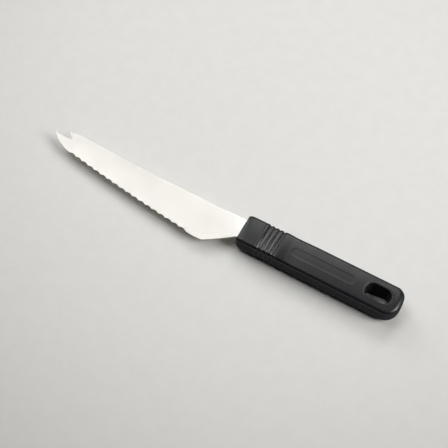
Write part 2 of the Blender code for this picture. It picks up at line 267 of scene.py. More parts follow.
class Value:
    """A number that comes out of a shader socket, for use in plain expressions."""

    def __init__(self, graph: "Graph", socket: bpy.types.NodeSocket) -> None:
        """Wrap an output socket of a graph."""
        self.graph = graph
        self.socket = socket

    def __add__(self, other: "Value | float") -> "Value":
        """Sum."""
        return self.graph.math("ADD", self, other)

    def __sub__(self, other: "Value | float") -> "Value":
        """Difference."""
        return self.graph.math("SUBTRACT", self, other)

    def __rsub__(self, other: "Value | float") -> "Value":
        """Difference with the number first."""
        return self.graph.math("SUBTRACT", other, self)

    def __mul__(self, other: "Value | float") -> "Value":
        """Product."""
        return self.graph.math("MULTIPLY", self, other)

    __radd__ = __add__
    __rmul__ = __mul__

    def over(self, low: float, high: float) -> "Value":
        """Nought at low, one at high, smooth between and clamped outside.

        Args:
            low: where it starts to rise.
            high: where it reaches one.

        Returns:
            The share as a value.
        """
        settings = {"interpolation_type": "SMOOTHSTEP"}
        inputs = {"Value": self, "From Min": low, "From Max": high}
        return Value(self.graph, self.graph.node("ShaderNodeMapRange", settings, inputs).outputs["Result"])


class Graph:
    """The node graph of one material or world."""

    def __init__(self, owner: bpy.types.Material | bpy.types.World, shader: str) -> None:
        """Give a new material or world its graph, with no more than its own shader and output.

        Args:
            owner: the new material or world.
            shader: name of its shader node.
        """
        owner.use_nodes = True
        self.owner = owner
        self.tree = owner.node_tree
        self.shader = self.tree.nodes[shader]

    def node(self, kind: str, settings: dict[str, object], inputs: dict[object, object]) -> bpy.types.Node:
        """Add a node.

        Args:
            kind: the node's type name.
            settings: properties of the node, set before its sockets.
            inputs: values or links of its sockets, by name or number.

        Returns:
            The node.
        """
        made = self.tree.nodes.new(kind)
        for key, setting in settings.items():
            setattr(made, key, setting)
        for key, given in inputs.items():
            self.feed(made.inputs[key], given)
        return made

    def feed(self, socket: bpy.types.NodeSocket, given: object) -> None:
        """Set a socket to a number or colour, or link it.

        Args:
            socket: an input socket of one of the graph's nodes.
            given: what it gets.
        """
        if isinstance(given, Value):
            self.tree.links.new(given.socket, socket)
        elif isinstance(given, bpy.types.NodeSocket):
            self.tree.links.new(given, socket)
        else:
            socket.default_value = given

    def finish(self, inputs: dict[str, object]) -> bpy.types.Material | bpy.types.World:
        """Feed the shader's sockets, by name, and return the finished material or world."""
        for key, given in inputs.items():
            self.feed(self.shader.inputs[key], given)
        return self.owner

    def math(self, operation: str, first: object, second: object) -> Value:
        """One Math node as a value."""
        made = self.node("ShaderNodeMath", {"operation": operation}, {0: first, 1: second})
        return Value(self, made.outputs[0])

    def place(self, period: Period) -> bpy.types.NodeSocket:
        """The point on the object, counted in periods.

        Args:
            period: length of a period in millimetres, or one length for each axis.

        Returns:
            The socket with the scaled point.
        """
        where = self.node("ShaderNodeTexCoord", {}, {}).outputs["Object"]
        scale = tuple(1.0 / (size * METRES) for size in np.broadcast_to(period, 3).tolist())
        return self.node("ShaderNodeVectorMath", {"operation": "MULTIPLY"}, {0: where, 1: scale}).outputs[0]

    def noise(
        self, period: Period, detail: float = 2.0, roughness: float = 0.5, bend: float = 0.0
    ) -> Value:
        """Soft noise.

        Args:
            period: size of its blotches in millimetres, or one size for each axis.
            detail: number of finer layers.
            roughness: weight of the finer layers.
            bend: how much the pattern is distorted.

        Returns:
            A value that mostly lies between 0.3 and 0.7.
        """
        inputs = {"Vector": self.place(period), "Scale": 1.0}
        inputs.update({"Detail": detail, "Roughness": roughness, "Distortion": bend})
        return Value(self, self.node("ShaderNodeTexNoise", {}, inputs).outputs["Fac"])

    def grains(self, period: float) -> Value:
        """Distance to the nearest of scattered points that lie about a period apart."""
        made = self.node("ShaderNodeTexVoronoi", {}, {"Vector": self.place(period), "Scale": 1.0})
        return Value(self, made.outputs["Distance"])

    def distance(self, point: Sequence[float]) -> Value:
        """Distance from a point of the object.

        Args:
            point: the point, in metres.

        Returns:
            The distance in metres, as a value.
        """
        inputs = {0: self.node("ShaderNodeTexCoord", {}, {}).outputs["Object"], 1: tuple(point)}
        made = self.node("ShaderNodeVectorMath", {"operation": "DISTANCE"}, inputs)
        return Value(self, made.outputs["Value"])

    def light_path(self, kinds: Sequence[str]) -> Value:
        """One for rays of any of the named kinds, nought for the others."""
        path = self.node("ShaderNodeLightPath", {}, {})
        return sum(Value(self, path.outputs[kind]) for kind in kinds)

    def facing(self) -> Value:
        """Nought where the surface is seen square on, one where it is seen edge on."""
        return Value(self, self.node("ShaderNodeLayerWeight", {}, {"Blend": 0.5}).outputs["Facing"])

    def attribute(self, name: str) -> Value:
        """A number stored on the mesh's points."""
        return Value(self, self.node("ShaderNodeAttribute", {"attribute_name": name}, {}).outputs["Fac"])

    def blend(self, share: Value, first: object, second: object) -> bpy.types.NodeSocket:
        """A colour between two colours.

        Args:
            share: nought for the first colour, one for the second.
            first: a colour or a socket.
            second: a colour or a socket.

        Returns:
            The socket with the colour.
        """
        ends = [(*end, 1.0) if isinstance(end, tuple) else end for end in (first, second)]
        inputs = {0: share, 6: ends[0], 7: ends[1]}
        return self.node("ShaderNodeMix", {"data_type": "RGBA"}, inputs).outputs[2]

    def bump(self, height: Value, depth: float, strength: float) -> bpy.types.NodeSocket:
        """A normal disturbed by a height that counts depth millimetres at one."""
        inputs = {"Height": height, "Distance": depth * METRES, "Strength": strength}
        return self.node("ShaderNodeBump", {}, inputs).outputs["Normal"]


def surface_graph(name: str) -> Graph:
    """The graph of a new material."""
    return Graph(bpy.data.materials.new(name), "Principled BSDF")


def weighted(parts: Sequence[Value], shares: Sequence[float]) -> Value:
    """Sum of the parts, each times its share."""
    return sum(part * share for part, share in zip(parts, shares))


@dataclass(frozen=True)
class SatinSteel:
    """Stainless steel with fine grinding lines that run from the edge to the spine."""

    light: Colour = (0.93, 0.905, 0.853)
    dark: Colour = (0.87, 0.847, 0.798)
    roughness: float = 0.24
    ground_roughness: float = 0.18
    line_period: Triple = (0.09, 9.0, 3.0)
    coarse_line_period: Triple = (0.45, 30.0, 3.0)
    line_shares: Pair = (0.6, 0.4)
    line_limits: Pair = (0.3, 0.7)
    line_swing: float = 0.06
    smudge_period: float = 14.0
    smudge_limits: Pair = (0.42, 0.68)
    smudge_swing: float = 0.02
    line_depth: float = 0.0025
    line_strength: float = 0.3

    def material(self) -> bpy.types.Material:
        """Grinding lines in bump, colour and roughness, faint smudges, and a brighter ground edge.

        Returns:
            The finished material.
        """
        graph = surface_graph("satin_steel")
        lines = graph.noise(self.line_period, detail=3.0, roughness=0.6)
        coarse = graph.noise(self.coarse_line_period)
        smudges = graph.noise(self.smudge_period, detail=3.0, bend=0.6).over(*self.smudge_limits)
        grain = weighted((lines, coarse), self.line_shares)
        tint = graph.blend(grain.over(*self.line_limits), self.dark, self.light)
        rough = (grain - 0.5) * self.line_swing + smudges * self.smudge_swing + self.roughness
        rough = rough + graph.attribute("mark") * (self.ground_roughness - self.roughness)
        normal = graph.bump(grain, self.line_depth, self.line_strength)
        return graph.finish({"Metallic": 1.0, "Base Color": tint, "Roughness": rough, "Normal": normal})


@dataclass(frozen=True)
class MouldedPlastic:
    """Black plastic with the fine matte texture of a spark-eroded mould."""

    deep: Colour = (0.0016, 0.0021, 0.0034)
    worn: Colour = (0.0044, 0.0053, 0.0072)
    roughness: float = 0.38
    grazing_roughness: float = 1.0
    polish: float = 0.11
    specular: float = 0.6
    grain_period: float = 0.28
    grain_swing: float = 0.16
    pit_period: float = 0.42
    ripple_period: float = 1.6
    patch_period: float = 11.0
    patch_limits: Pair = (0.35, 0.65)
    patch_shine: float = 0.05
    scuff_period: Triple = (5.0, 0.12, 0.12)
    scuff_limits: Pair = (0.66, 0.74)
    scuff_dullness: float = 0.06
    grazing_limits: Pair = (0.2, 0.55)
    grain_pit_ripple: Triple = (0.6, 0.25, 0.4)
    grain_depth: float = 0.02
    grain_strength: float = 0.35
    patch_scuff_grain: Triple = (0.35, 0.4, 0.25)

    def material(self) -> bpy.types.Material:
        """A fine grain with pits and a slow ripple in the bump, and patches of handling shine and
        hairline scuffs in colour and roughness. The pits hide each other at a flat angle, so the
        gloss is lost there. The grip ring, marked 1, is a little smoother.

        Returns:
            The finished material.
        """
        graph = surface_graph("matte_black_plastic")
        grain = graph.noise(self.grain_period, detail=3.0, roughness=0.6)
        pits = graph.grains(self.pit_period)
        ripple = graph.noise(self.ripple_period)
        patches = graph.noise(self.patch_period, detail=3.0, bend=0.4).over(*self.patch_limits)
        scuffs = graph.noise(self.scuff_period, detail=1.0, bend=0.3).over(*self.scuff_limits)
        height = weighted((grain, pits, ripple), self.grain_pit_ripple)
        wear = weighted((patches, scuffs, grain), self.patch_scuff_grain)
        grazing = graph.facing().over(*self.grazing_limits)
        rough = (grain - 0.5) * self.grain_swing - patches * self.patch_shine
        rough = rough + scuffs * self.scuff_dullness + self.roughness
        rough = rough + grazing * (self.grazing_roughness - self.roughness)
        rough = rough - graph.attribute("mark") * self.polish
        colour = graph.blend(wear, self.deep, self.worn)
        normal = graph.bump(height, self.grain_depth, self.grain_strength)
        shine = {"Roughness": rough, "Specular IOR Level": self.specular}
        return graph.finish({"Base Color": colour, "Normal": normal, **shine})


@dataclass(frozen=True)
class PaleTable:
    """The plain, faintly mottled pale surface under the knife, with painted shade that darkens it away from
    the knife.
    """

    colour: Colour = (0.85, 0.841, 0.81)
    shade: Colour = (0.835, 0.826, 0.796)
    # painted shade: the dark colour the table is painted with far from the knife, standing in for light
    # that fades; middle and reach place and size the painted pool of light round the knife
    painted_far_shade: Colour = (0.27, 0.254, 0.240)
    middle: Triple = (-0.09, 0.10, 0.0)
    reach: float = 0.32
    roughness: float = 0.85
    mottle_period: float = 9.0
    mottle_limits: Pair = (0.35, 0.65)
    grain_period: float = 0.5
    grain_depth: float = 0.02
    grain_strength: float = 0.2

    def material(self) -> bpy.types.Material:
        """A pale colour with faint wide mottling and a fine paper grain. Away from the middle it passes
        into a dark painted shade, in place of light that fades away from the knife: the share of pale
        colour left is one over 1 plus the fourth power of distance over reach.

        Returns:
            The finished material.
        """
        graph = surface_graph("pale_table")
        mottle = graph.noise(self.mottle_period, detail=3.0).over(*self.mottle_limits)
        paper = graph.noise(self.grain_period)
        away = graph.distance(self.middle) * (1 / self.reach)
        squared = away * away
        # painted light falloff: share of the pale colour, which gives way to the painted far shade with
        # distance
        painted_light_share = graph.math("DIVIDE", 1.0, squared * squared + 1.0)
        colour = graph.blend(painted_light_share, self.painted_far_shade, graph.blend(mottle, self.colour, self.shade))
        normal = graph.bump(paper, self.grain_depth, self.grain_strength)
        return graph.finish({"Base Color": colour, "Roughness": self.roughness, "Normal": normal})


# The blade


@dataclass
class Blade:
    """The forked, serrated blade with the root that enters the handle.

    Its outline's points are places in knife coordinates, seen from above.
    """

    front_face: float
    mid_height: float = HANDLE_THICKNESS / 2
    half_thickness: float = STEEL_THICKNESS / 2
    half_edge_thickness: float = 0.225
    taper_height: float = 28.0
    taper_fade: Pair = (-15.0, -1.0)
    spine_at_handle: float = ROOT_HIGH
    spine_rise: float = 2.15
    spine_power: float = 3.0
    apex_reach: float = 118.0
    short_tip: Pair = (-130.8, 8.4)
    notch: Pair = (-125.5, 4.3)
    notch_upper_bow: float = 0.4
    notch_lower_bow: float = 1.0
    long_tip: Pair = (-138.5, 5.5)
    belly_control: Pair = (-133.1, -2.0)
    first_tooth: Pair = (-121.25, -4.7)
    last_tooth: Pair = (-30.25, -16.6)
    scallops: int = 18
    scallop_depth: float = 0.9
    edge_bow: float = 0.85
    edge_land: float = 0.1
    heel: Pair = (-19.2, -16.9)
    heel_bow: float = 0.4
    heel_radius: float = 3.5
    choil_slope: float = 0.69
    choil_bow: float = 0.2
    choil_radius: float = 1.5
    root_low: float = ROOT_LOW
    root_depth: float = 5.0
    bevel_angle: float = 30.0
    bevel_near_tip: Pair = (-137.5, -134.0)
    bevel_near_heel: Pair = (-22.5, -19.5)
    least_bevel: float = 0.02
    edge_thinness: float = 0.03
    rim_radius: float = 0.14
    rim_steps: int = 5
    notch_fade: float = 0.5
    tip_crowding: float = 1.7
    choil_start: float = -14.2
    entry_start: float = -4.0
    edge_rows: int = 5
    face_rows: int = 9
    sharp_angle: float = 26.0
    finish: SatinSteel = field(default_factory=SatinSteel)

    def tooth_line(self, share: Array) -> Array:
        """Height of the line the teeth stand on: straight between the end teeth, less four times
        the bow times s (1 - s).

        Args:
            share: share of the way from the first tooth to the last.

        Returns:
            The y of each share.
        """
        rise = self.last_tooth[1] - self.first_tooth[1]
        return self.first_tooth[1] + rise * share - 4 * self.edge_bow * share * (1 - share)

    def low_outline(self) -> Array:
        """The lower outline from the long prong's tip to the handle, without scallops.

        Returns:
            The outline's points, in order along the blade.
        """
        belly = quadratic(self.long_tip, self.belly_control, self.first_tooth, 160)
        share = np.linspace(0.0, 1.0, 200)
        reach = self.first_tooth[0] + (self.last_tooth[0] - self.first_tooth[0]) * share
        teeth = np.stack((reach, self.tooth_line(share)), axis=1)
        entry = (self.heel[0] + (self.root_low - self.heel[1]) / self.choil_slope, self.root_low)
        turn = corner(self.last_tooth, self.heel, entry, self.heel_radius, 40)
        flat = bowed(self.last_tooth, turn[0], -self.heel_bow, 40)
        rise = corner(self.heel, entry, (0.0, self.root_low), self.choil_radius, 20)
        choil = bowed(turn[-1], rise[0], -self.choil_bow, 60)
        root = np.array(((self.root_depth + 1.0, self.root_low),))
        return np.concatenate((belly, teeth[1:], flat[1:], turn[1:], choil[1:], rise[1:], root))

    def low_edge(self, x: Array) -> Array:
        """Lower outline with the scallops: the plain outline plus the land, plus four times the
        depth times p (1 - p) over each tooth, where p is the share of the way along that tooth.

        Args:
            x: places along the blade.

        Returns:
            The y of the edge at each place.
        """
        outline = self.low_outline()
        plain = np.interp(x, outline[:, 0], outline[:, 1])
        share = (x - self.first_tooth[0]) / (self.last_tooth[0] - self.first_tooth[0])
        toothed = (share > 0) & (share < 1)
        plain = np.where(toothed, self.tooth_line(share), plain)
        phase = np.mod(share * self.scallops + TINY, 1.0)
        scallop = 4 * self.scallop_depth * phase * (1 - phase)
        return plain + self.edge_land * self.sharpened(x) + np.where(toothed, scallop, 0.0)

    def high_edge(self, x: Array) -> Array:
        """Spine: level at the handle, with a cubic rise to the apex, then a bow down to the short prong.

        Args:
            x: places along the blade.

        Returns:
            The y of the spine at each place.
        """
        apex = (-self.apex_reach, self.spine_at_handle + self.spine_rise)
        shoulder = ((apex[0] + self.short_tip[0]) / 2, apex[1])
        fall = quadratic(self.short_tip, shoulder, apex, 80)
        rise = self.spine_rise * np.clip(-x / self.apex_reach, 0.0, 1.0) ** self.spine_power
        return np.where(x < apex[0], np.interp(x, fall[:, 0], fall[:, 1]), self.spine_at_handle + rise)

    def sharpened(self, x: Array) -> Array:
        """Share of the edge's grind at each place: one along the edge, nought at the tip and the choil."""
        return plateau(x, self.bevel_near_tip, self.bevel_near_heel)

    def half_thickness_at(self, x: Array, y: Array) -> Array:
        """Half of the sheet's thickness: it grows evenly with the distance from the line through the
        end teeth, and is full near the handle.

        Args:
            x: places along the blade.
            y: places across it.

        Returns:
            The half thickness at each place.
        """
        along = np.array(self.last_tooth) - np.array(self.first_tooth)
        along /= np.hypot(*along)
        distance = -along[1] * (x - self.first_tooth[0]) + along[0] * (y - self.first_tooth[1])
        share = np.clip(distance / self.taper_height, 0.0, 1.0)
        ground = self.half_edge_thickness + (self.half_thickness - self.half_edge_thickness) * share
        return ground + (self.half_thickness - ground) * ramp(x, *self.taper_fade)

    def rim(self, x: Array, y: Array, radius: Array, outward: float) -> Array:
        """The rounded wall at one side of the sheet: a quarter circle down from the top face, the
        flat of the wall, and a quarter circle on to the bottom face.

        Args:
            x: places along the blade.
            y: the outline at each place.
            radius: radius of both roundings at each place.
            outward: 1 where the outline looks to the spine, -1 where it looks to the edge.

        Returns:
            Points of shape (places, 2 * rim_steps, 3), from the top face to the bottom face.
        """
        turn = np.linspace(0.0, math.pi / 2, self.rim_steps)
        back = radius[:, None] * (1 - np.sin(turn))[None, :]
        drop = radius[:, None] * (1 - np.cos(turn))[None, :]
        across = y[:, None] - outward * back
        half = self.half_thickness_at(x, y)[:, None]
        along = np.broadcast_to(x[:, None], across.shape)
        upper = np.stack((along, across, self.mid_height + half - drop), axis=-1)
        lower = upper * np.array((1.0, 1.0, -1.0)) + np.array((0.0, 0.0, 2 * self.mid_height))
        return np.concatenate((upper, lower[:, ::-1]), axis=1)

    def faces(self, x: Array, y: Array) -> tuple[Array, Array]:
        """The sheet's top and bottom face over rows of points.

        Args:
            x: places along the blade.
            y: rows across it, of shape (places, rows).

        Returns:
            The points of the top face and those of the bottom face.
        """
        along = np.broadcast_to(x[:, None], y.shape)
        half = self.half_thickness_at(along, y)
        top = np.stack((along, y, self.mid_height + half), axis=-1)
        bottom = np.stack((along, y, self.mid_height - half), axis=-1)
        return top, bottom

    def sheet(self, x: Array, low: Array, high: Array) -> tuple[Array, Array]:
        """The sheet's top and bottom face between two outlines, in evenly spaced rows.

        Args:
            x: places along the blade.
            low: the lower limit at each place.
            high: the upper limit at each place.

        Returns:
            The points of the top face and those of the bottom face.
        """
        share = np.linspace(0.0, 1.0, self.face_rows)
        return self.faces(x, low[:, None] + (high - low)[:, None] * share)

    def edge_strip(self, x: Array) -> tuple[Array, Array, Array]:
        """The strip along the cutting edge, with its flat top and its bevel, which rises from the
        bottom face to the edge at the bevel angle.

        Args:
            x: places along the blade.

        Returns:
            The top face's points, the bevel's points, and the y where the bevel ends.
        """
        edge = self.low_edge(x)
        height = (2 * self.half_thickness_at(x, edge) - self.edge_thinness) * self.sharpened(x)
        width = np.maximum(height / math.tan(math.radians(self.bevel_angle)), self.least_bevel)
        share = np.linspace(0.0, 1.0, self.edge_rows)
        top, bevel = self.faces(x, edge[:, None] + width[:, None] * share)
        bevel[:, :, 2] += height[:, None] * (1 - share)
        return top, bevel, edge + width

    def main_columns(self) -> Array:
        """Places along the blade from the notch to inside the handle, with one on each tooth.

        Returns:
            The places, in order.
        """
        belly = np.linspace(self.notch[0], self.first_tooth[0], 14)
        teeth = np.linspace(self.first_tooth[0], self.last_tooth[0], self.scallops * 20 + 1)
        heel = np.linspace(self.last_tooth[0], self.choil_start, 70)
        choil = np.linspace(self.choil_start, self.entry_start, 20)
        entry = np.linspace(self.entry_start, 0.0, 24)
        root = np.linspace(0.0, self.root_depth, 6)
        return merged(belly, teeth, heel, choil, entry, root)

    def build(self) -> bpy.types.Object:
        """The whole blade as one closed mesh: the main body, and the two prongs on either side of
        the notch, each a grid of columns along the blade and rows across it.

        Returns:
            The blade's object.
        """
        work = Patchwork()
        self.add_body(work)
        self.add_long_prong(work)
        self.add_short_prong(work)
        piece = work.build("blade_ground", self.front_face, self.sharp_angle)
        piece.data.materials.append(self.finish.material())
        return piece

    def add_ground(self, work: Patchwork, x: Array, parts: Sequence[Array]) -> None:
        """Add a closed grid of the strips that run round the blade, with the bevel marked.

        Args:
            work: the mesh being made.
            x: places along the blade.
            parts: the strips' points, in order, with the bevel last.
        """
        loop = np.concatenate(parts, axis=1)
        on_bevel = np.arange(loop.shape[1]) >= loop.shape[1] - self.edge_rows
        work.add(loop, on_bevel * self.sharpened(x)[:, None], closed=True)

    def prong_columns(self, tip: float, count: int) -> Array:
        """Places along a prong from its tip to the notch, closer together towards the tip."""
        return tip + (self.notch[0] - tip) * np.linspace(0.0, 1.0, count) ** self.tip_crowding

    def near_notch(self, x: Array) -> Array:
        """What is left of a rounding beside the notch, where it dies away into the notch's bottom."""
        return ramp(self.notch[0] - x, 0.0, self.notch_fade)

    def add_body(self, work: Patchwork) -> None:
        """Add the blade from the notch to inside the handle. Its rows meet along a line that keeps
        the notch's share of the width, and its end in the handle is closed.

        Args:
            work: the mesh being made.
        """
        x = self.main_columns()
        low, high = self.low_edge(x), self.high_edge(x)
        seam = low + (high - low) * (self.notch[1] - low[0]) / (high[0] - low[0])
        radius = np.full_like(x, self.rim_radius)
        top_edge, bevel, inner = self.edge_strip(x)
        lower_top, lower_bottom = self.sheet(x, inner, seam)
        upper_top, upper_bottom = self.sheet(x, seam, high - radius)
        over = (top_edge, lower_top, upper_top, self.rim(x, high, radius, 1.0))
        under = (upper_bottom[:, ::-1], lower_bottom[:, ::-1], bevel[:, ::-1])
        self.add_ground(work, x, over + under)
        end = np.concatenate(over + under, axis=1)[-1]
        work.add(np.stack((end, np.broadcast_to(end.mean(axis=0), end.shape))), closed=True)

    def add_long_prong(self, work: Patchwork) -> None:
        """Add the long lower prong, from its tip to the notch.

        Args:
            work: the mesh being made.
        """
        x = self.prong_columns(self.long_tip[0], 46)
        side = bowed(self.notch, self.long_tip, self.notch_lower_bow, 200)[::-1]
        low, high = self.low_edge(x), np.interp(x, side[:, 0], side[:, 1])
        width = np.maximum(high - low, 0.0)
        radius = np.minimum(self.rim_radius, width / 4) * self.near_notch(x)
        top_edge, bevel, inner = self.edge_strip(x)
        inner = np.minimum(inner, low + width / 3)
        for part in (top_edge, bevel):
            part[:, :, 1] = low[:, None] + (inner - low)[:, None] * np.linspace(0.0, 1.0, self.edge_rows)
        top, bottom = self.sheet(x, inner, high - radius)
        wall = self.rim(x, high, radius, 1.0)
        self.add_ground(work, x, (top_edge, top, wall, bottom[:, ::-1], bevel[:, ::-1]))

    def add_short_prong(self, work: Patchwork) -> None:
        """Add the short upper prong, from its tip to the notch.

        Args:
            work: the mesh being made.
        """
        x = self.prong_columns(self.short_tip[0], 30)
        side = bowed(self.short_tip, self.notch, self.notch_upper_bow, 200)
        low, high = np.interp(x, side[:, 0], side[:, 1]), self.high_edge(x)
        radius_high = np.minimum(self.rim_radius, np.maximum(high - low, 0.0) / 4)
        radius_low = radius_high * self.near_notch(x)
        top, bottom = self.sheet(x, low + radius_low, high - radius_high)
        upper, lower = self.rim(x, high, radius_high, 1.0), self.rim(x, low, radius_low, -1.0)
        work.add(np.concatenate((top, upper, bottom[:, ::-1], lower[:, ::-1]), axis=1), closed=True)


# The handle


@dataclass(frozen=True)
class Section:
    """Sample points round a rounded-rectangle section, written so that any size can use them.

    A point's y is its anchor times (half width - radius) plus its direction times the radius. Its z
    is found in the same way between the upper corners' centres and the lower ones'. The points run
    over the top towards the edge's side, down, back under the bottom and up on the spine's side.
    """

    flat: Array
    side: Array
    arc_steps: int = 11

    def pattern(self) -> tuple[Array, Array]:
        """The anchors and directions of all points: those of the way down over the edge's side, and
        their opposites for the way back.

        Returns:
            Two arrays of shape (points, 2).
        """
        flat, side = self.flat, self.side
        level, upright, unit = np.ones_like(flat), np.ones_like(side), np.ones(self.arc_steps)
        quarter = np.linspace(0.0, math.pi / 2, self.arc_steps)
        sine, cosine = np.sin(quarter), np.cos(quarter)
        anchors = ((-flat, level), (-unit, unit), (-upright, -side), (-unit, -unit))
        directions = ((0 * flat, level), (-sine, cosine), (-upright, 0 * side), (-cosine, -sine))
        there = [np.concatenate([np.stack(run, 1) for run in runs]) for runs in (anchors, directions)]
        return tuple(np.concatenate((points, -points)) for points in there)

    def loops(
        self, x: Array, half_width: Array, half_height: Array, radii: tuple[Array, Array], centre: Pair
    ) -> Array:
        """The section at each place along the handle.

        Args:
            x: distances from the front face.
            half_width: half width at each place.
            half_height: half height at each place.
            radii: radius of the section's upper and of its lower corners at each place.
            centre: y and z of the section's middle.

        Returns:
            Points of shape (places, points, 3).
        """
        anchors, directions = self.pattern()
        high, low = radii[0][:, None], radii[1][:, None]
        radius = np.where(anchors[:, 1] > 0, high, low)
        share = (1 + anchors[:, 1]) / 2
        middle = share * (half_height[:, None] - high) - (1 - share) * (half_height[:, None] - low)
        y = centre[0] + anchors[:, 0] * (half_width[:, None] - radius) + directions[:, 0] * radius
        z = centre[1] + middle + directions[:, 1] * radius
        return np.stack((np.broadcast_to(x[:, None], y.shape), y, z), axis=-1)


@dataclass
class Handle:
    """The moulded handle: collar, grip ring, sunk panel, hanging slot and rounded butt.

    Places along it are distances from the front face. A band is given by the two places between
    which it rises, and the two between which it falls. The mouth's low and high ends lie across the
    handle, towards the edge and towards the spine.
    """

    front_face: float
    length: float = 102.5
    width: float = 19.5
    thickness: float = HANDLE_THICKNESS
    edge_radius: float = 2.2
    low_edge_radius: float = 6.0
    least_edge_radius: float = 0.7
    top_crown: float = 90.0
    front_rim: float = 1.3
    front_rim_run: float = 4.2
    butt_top_rim: float = 3.2
    butt_low_rim: float = 6.6
    butt_side_rim: float = 5.0
    butt_rim_blend: Pair = (82.0, 96.0)
    spine_corner: float = 6.2
    edge_corner: float = 8.6
    crown: float = 30.0
    grooves: int = 4
    first_groove: float = 14.2
    groove_pitch: float = 2.95
    groove_reach: Pair = (0.9, 1.55)
    groove_depth: float = 0.55
    borders: Pair = (11.4, 24.4)
    border_reach: Pair = (0.5, 1.0)
    border_depth: float = 0.18
    front_band: tuple[Pair, Pair] = ((10.9, 11.4), (13.0, 13.5))
    front_band_height: float = 0.14
    rear_band: tuple[Pair, Pair] = ((23.6, 24.1), (25.6, 31.5))
    rear_band_height: float = 0.28
    swell: Pair = (33.0, 46.0)
    swell_height: float = 0.26
    panel_start: float = 32.1
    panel_length: float = 40.9
    panel_height: float = 6.4
    panel_radius: float = 2.9
    panel_depth: float = 0.08
    panel_run: float = 1.3
    panel_margin: float = 0.1
    wall_margin: float = 0.03
    slot_length: float = 15.5
    slot_width: float = 9.0
    slot_from_butt: float = 14.9
    slot_lip: float = 1.0
    bead_height: float = 0.12
    bead_crest: float = 0.8
    bead_foot: float = 1.5
    bead_drop: float = 0.7
    seam: float = 74.5
    mouth_low: float = ROOT_LOW
    mouth_high: float = ROOT_HIGH
    mouth_half_height: float = STEEL_THICKNESS / 2
    mouth_gap: float = 0.05
    mouth_depth: float = 5.5
    mouth_corner: float = 0.2
    mouth_lip: float = 0.08
    ring_margins: Pair = (1.0, 2.0)
    ring_fade: float = 1.0
    sharp_angle: float = 30.0
    finish: MouldedPlastic = field(default_factory=MouldedPlastic)

    def section(self) -> Section:
        """The section's sample points, closer together over the panel's two long walls.

        Returns:
            The section, for all parts of the handle.
        """
        half_flat = self.width / 2 - self.edge_radius
        outer = self.panel_height / 2 / half_flat + self.wall_margin
        inner = (self.panel_height / 2 - self.panel_run) / half_flat - self.wall_margin
        wall = np.linspace(inner, outer, 13)
        border = np.linspace(outer, 1.0, 8)
        flat = merged(-border, -wall, np.linspace(-inner, inner, 11), wall, border)
        return Section(flat, np.linspace(-1.0, 1.0, 9))

    def edge_radii(self) -> Pair:
        """Radii of the long edges above and below."""
        return self.edge_radius, self.low_edge_radius

    def groove(self, x: Array, centre: float, reach: Pair, depth: float) -> Array:
        """Depth of one groove: half a raised cosine down over the first reach, and half of one back
        up over the second, nought outside both."""
        share = np.clip(np.where(x < centre, (centre - x) / reach[0], (x - centre) / reach[1]), 0.0, 1.0)
        return depth * (1 + np.cos(math.pi * share)) / 2

    def inset(self, x: Array) -> Array:
        """How far the surface lies inside the handle's outline: at the front rim by a quarter of an
        ellipse, and at the grip ring by its deep grooves and the two fine ones beside them.

        Args:
            x: distances from the front face.

        Returns:
            The inset at each place.
        """
        left = np.clip(1 - x / self.front_rim_run, 0.0, 1.0)
        rim = self.front_rim * (1 - np.sqrt(1 - left**2))
        places = self.first_groove + self.groove_pitch * np.arange(self.grooves)
        deep = sum(self.groove(x, place, self.groove_reach, self.groove_depth) for place in places)
        fine = sum(self.groove(x, place, self.border_reach, self.border_depth) for place in self.borders)
        return rim + deep + fine

    def lift(self, x: Array) -> Array:
        """How far the top stands above the collar's: a low band before the grip ring, one behind it
        that dies away slowly, and a slow swell of the body behind the neck. The sides grow by half.

        Args:
            x: distances from the front face.

        Returns:
            The lift at each place.
        """
        bands = self.front_band_height * plateau(x, *self.front_band)
        bands = bands + self.rear_band_height * plateau(x, *self.rear_band)
        return bands + self.swell_height * ramp(x, *self.swell)

    def half_width(self, x: Array) -> Array:
        """Half of the handle's width at each distance from the front face, without rims and grooves."""
        return self.width / 2 + self.lift(x) / 2

    def panel_drop(self, x: Array, y: Array) -> Array:
        """Depth of the sunk panel: nought outside a rounded rectangle and full a wall's run inside
        it, with a smooth slope between that follows the distance to the rectangle.

        Args:
            x: distances from the front face.
            y: places across the handle.

        Returns:
            The depth at each point.
        """
        half = self.panel_length / 2
        beyond_x = np.abs(x - self.panel_start - half) - half + self.panel_radius
        beyond_y = np.abs(y) - self.panel_height / 2 + self.panel_radius
        outside = np.hypot(np.maximum(beyond_x, 0.0), np.maximum(beyond_y, 0.0))
        inside = np.minimum(np.maximum(beyond_x, beyond_y), 0.0)
        return self.panel_depth * ramp(self.panel_radius - outside - inside, 0.0, self.panel_run)

    def crowned(self, x: Array, y: Array, z: Array) -> Array:
        """Heights with the top's lift and crown: the lift less y squared over twice the crown's
        radius is added at the top, and fades out down to the middle of the handle's height."""
        rise = self.lift(x) - y**2 / (2 * self.top_crown)
        return z + rise * ramp(z, self.thickness / 2, self.thickness)

    def stations(self) -> Array:
        """Distances from the front face at which the section is drawn, up to the seam.

        Returns:
            The distances, in order.
        """
        rim = self.front_rim_run * (1 - np.cos(np.linspace(0.0, math.pi / 2, 14)))
        before, behind = self.ring_margins
        ring = np.linspace(self.borders[0] - before, self.borders[1] + behind, 161)
        collar = np.linspace(self.front_rim_run, ring[0], 14)
        start = self.panel_start - self.panel_margin
        end = self.panel_start + self.panel_length + self.panel_margin
        reach = self.panel_radius + self.panel_run + self.panel_margin
        neck = np.linspace(ring[-1], start, 12)
        ends = np.linspace(start, start + reach, 24), np.linspace(end - reach, end, 24)
        middle = np.linspace(start + reach, end - reach, 30)
        return merged(rim, ring, collar, neck, *ends, middle, (self.seam,))

